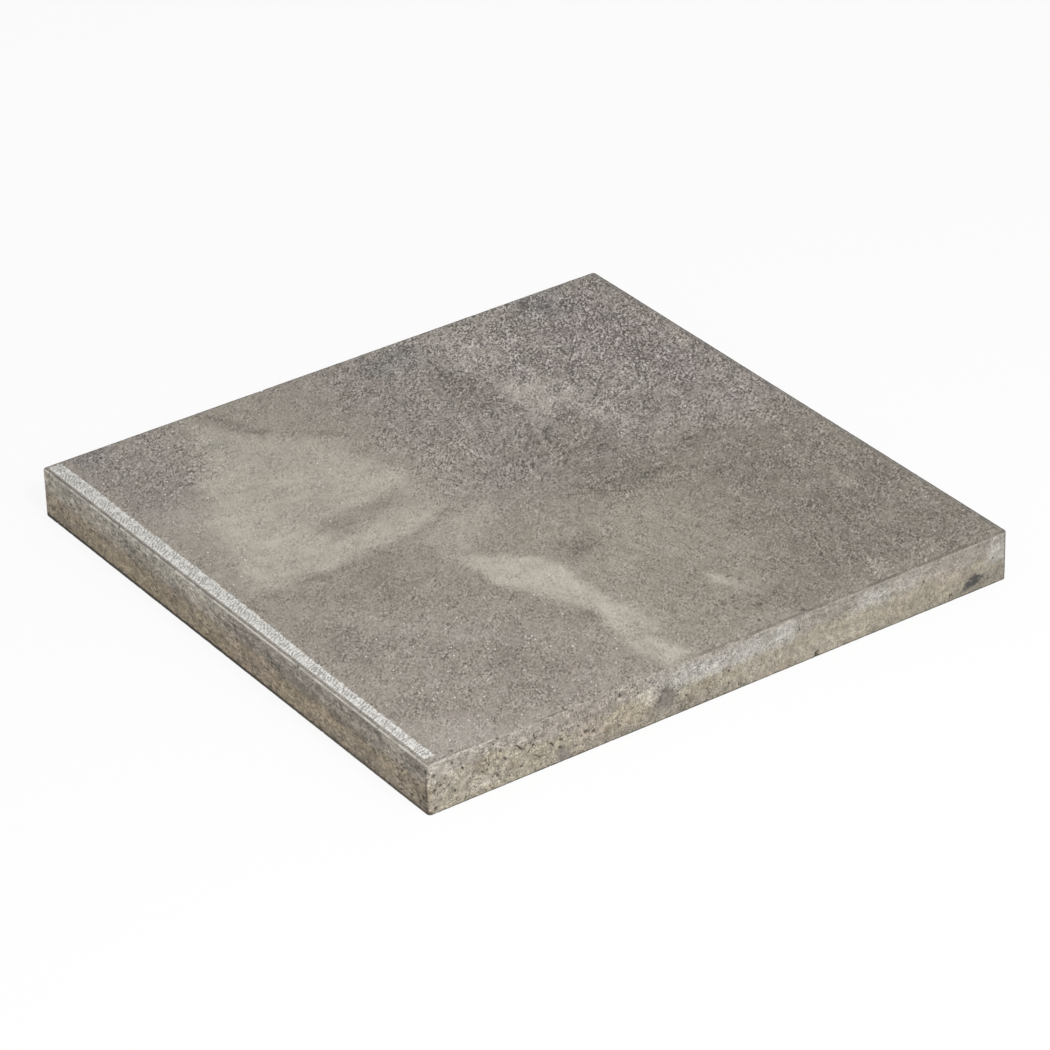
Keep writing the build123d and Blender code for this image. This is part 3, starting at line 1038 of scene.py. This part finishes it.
def strokeDepth(point):
    inset = (point.y + slabHalf.y) / mm - walkingFace["lipWidth"]
    along = point.x / mm
    taper = smoothStep(*walkingFace["bandTaper"], along)
    width = walkingFace["bandWide"] + taper * (walkingFace["bandNarrow"] - walkingFace["bandWide"])
    inner = width - inset + 1.2 * ripple(point, 2.6 * mm, 4.4)
    bandStart, bandEnd = walkingFace["bandEnds"]
    ends = min(along - bandStart, bandEnd - along)
    inBand = smoothStep(-0.2, 0.9, inner) * smoothStep(-0.2, 0.7, inset) * smoothStep(-0.8, 0.8, ends)
    leanStart, leanEnd = walkingFace["strokeLean"]
    lean = leanStart + (leanEnd - leanStart) * smoothStep(-250.0, 250.0, along)
    run = along + lean * inset + 3.0 * ripple(point, 8 * mm, 1.5) + 1.1 * ripple(point, 2.4 * mm, 9.1)
    wave = 0.5 - 0.5 * math.cos(2 * math.pi * run / walkingFace["strokePitch"])
    patchy = smoothStep(-0.5, 0.35, ripple(point, 5.5 * mm, 6.6))
    return inBand, wave ** 1.3 * (0.15 + 0.85 * patchy)


def sinkPits(bm, pits, hollowShade):
    tree = kdtree.KDTree(len(bm.verts))
    for vert in bm.verts:
        tree.insert(vert.co, vert.index)
    tree.balance()
    bm.verts.ensure_lookup_table()
    for place, outward, radius in pits["list"]:
        for co, index, gap in tree.find_range(place, slab["pitReach"] * radius):
            vert = bm.verts[index]
            ring = gap / radius * (1.0 + 0.6 * ripple(co, 0.9 * radius, place.y * 100))
            vert.co -= outward * (slab["pitDepth"] * radius * (1.0 - smoothStep(0.45, 1.0, ring)))
            # how deep in the pit a point lies, for the pit's painted shade
            vert[hollowShade] = max(vert[hollowShade], 1.0 - smoothStep(0.65, 1.15, ring))


def buildSlab():
    pits = placePits()
    bm = blankSlab()
    print("blank slab:", len(bm.faces), "faces")
    refine(bm, pits, 7)
    bmesh.ops.recalc_face_normals(bm, faces=bm.faces)
    bm.normal_update()
    # where the pits get their painted shade
    hollowShade = bm.verts.layers.float.new("hollowShade")
    tooling = bm.verts.layers.float.new("tooling")
    for face in bm.faces:
        face.smooth = True
        middle = face.calc_center_median()
        face.material_index = 0 if slabHigh.z - middle.z < slab["faceFinish"] else 1
    plainDepth, moreDepth = walkingFace["strokeDepth"]
    for vert in bm.verts:
        point = vert.co.copy()
        sink = castDip(point)
        if slabHigh.z - point.z < flush:
            inBand, depth = strokeDepth(point)
            sink += inBand * (plainDepth + moreDepth * depth) * mm
            vert[tooling] = inBand * depth
        vert.co = point - vert.normal * sink
    bm.verts.index_update()
    sinkPits(bm, pits, hollowShade)
    mesh = bpy.data.meshes.new("pavingSlab")
    bm.to_mesh(mesh)
    bm.free()
    piece = addObject("pavingSlab", mesh)
    triangles = sum(len(face.vertices) - 2 for face in mesh.polygons)
    print("slab mesh:", len(mesh.vertices), "vertices,", triangles, "triangles")
    return piece


# Studio: pale floor, one soft key lamp and a plain white room
studio = {
    "floorSize": 40.0,
    "floorGap": 0.05 * mm,
    "floorTint": (0.9, 0.9, 0.9),
    "floorWhite": 0.88,  # share of plain white that the camera sees in the floor
    "roomLight": 0.5,
    "keyPower": 46.0,
    "keySize": 1.2,
    "keyDistance": 2.5,
    "keyAzimuth": 81.0,  # degrees, as for the camera
    "keyElevation": 42.0,
}


def seenStraight(tree):
    rays = put(tree, "ShaderNodeLightPath")
    seen = sums(tree, "MAXIMUM", rays.outputs["Is Camera Ray"], rays.outputs["Is Glossy Ray"])
    return sums(tree, "MAXIMUM", seen, rays.outputs["Is Transmission Ray"])


def buildFloor():
    bm = bmesh.new()
    bmesh.ops.create_grid(bm, x_segments=2, y_segments=2, size=studio["floorSize"] / 2)
    bmesh.ops.translate(bm, vec=(0, 0, slabLow.z - studio["floorGap"]), verts=bm.verts)
    mesh = bpy.data.meshes.new("studioFloor")
    bm.to_mesh(mesh)
    bm.free()
    floor = addObject("studioFloor", mesh)
    finish, tree = newFinish("studioFloor")
    tree.nodes.remove(tree.nodes["Principled BSDF"])
    matt = put(tree, "ShaderNodeBsdfDiffuse")
    matt.inputs["Color"].default_value = tint(studio["floorTint"])
    white = put(tree, "ShaderNodeEmission")
    white.inputs["Strength"].default_value = 1.0
    blend = put(tree, "ShaderNodeMixShader")
    feed(tree, blend.inputs[0], times(tree, seenStraight(tree), studio["floorWhite"]))
    feed(tree, blend.inputs[1], matt.outputs[0])
    feed(tree, blend.inputs[2], white.outputs[0])
    feed(tree, tree.nodes["Material Output"].inputs["Surface"], blend.outputs[0])
    mesh.materials.append(finish)


def lightRoom():
    world = bpy.data.worlds.new("studioRoom")
    bpy.context.scene.world = world
    world.use_nodes = True
    tree = world.node_tree
    sky = tree.nodes["Background"]
    sky.inputs["Color"].default_value = (1.0, 1.0, 1.0, 1.0)
    feed(tree, sky.inputs["Strength"], fade(tree, seenStraight(tree), 0.0, 1.0, studio["roomLight"], 1.0))
    lamp = bpy.data.lights.new("keyLamp", "AREA")
    lamp.energy = studio["keyPower"]
    lamp.size = studio["keySize"]
    key = addObject("keyLamp", lamp)
    back = towards(studio["keyAzimuth"], studio["keyElevation"])
    key.location = back * studio["keyDistance"]
    key.rotation_euler = back.to_track_quat("Z", "Y").to_euler()


placeCamera()
buildFloor()
lightRoom()
bpy.context.scene.view_settings.view_transform = "Standard"
print("camera, floor and light are in place")

softPatch = makePatchGroup()
sandGrain = makeSandGroup()
pavingSlab = buildSlab()
pavingSlab.data.materials.append(makeWalkingFace(softPatch, sandGrain))
pavingSlab.data.materials.append(makeCastSide(softPatch, sandGrain))
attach(pavingSlab, "root")
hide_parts("paving_slab")
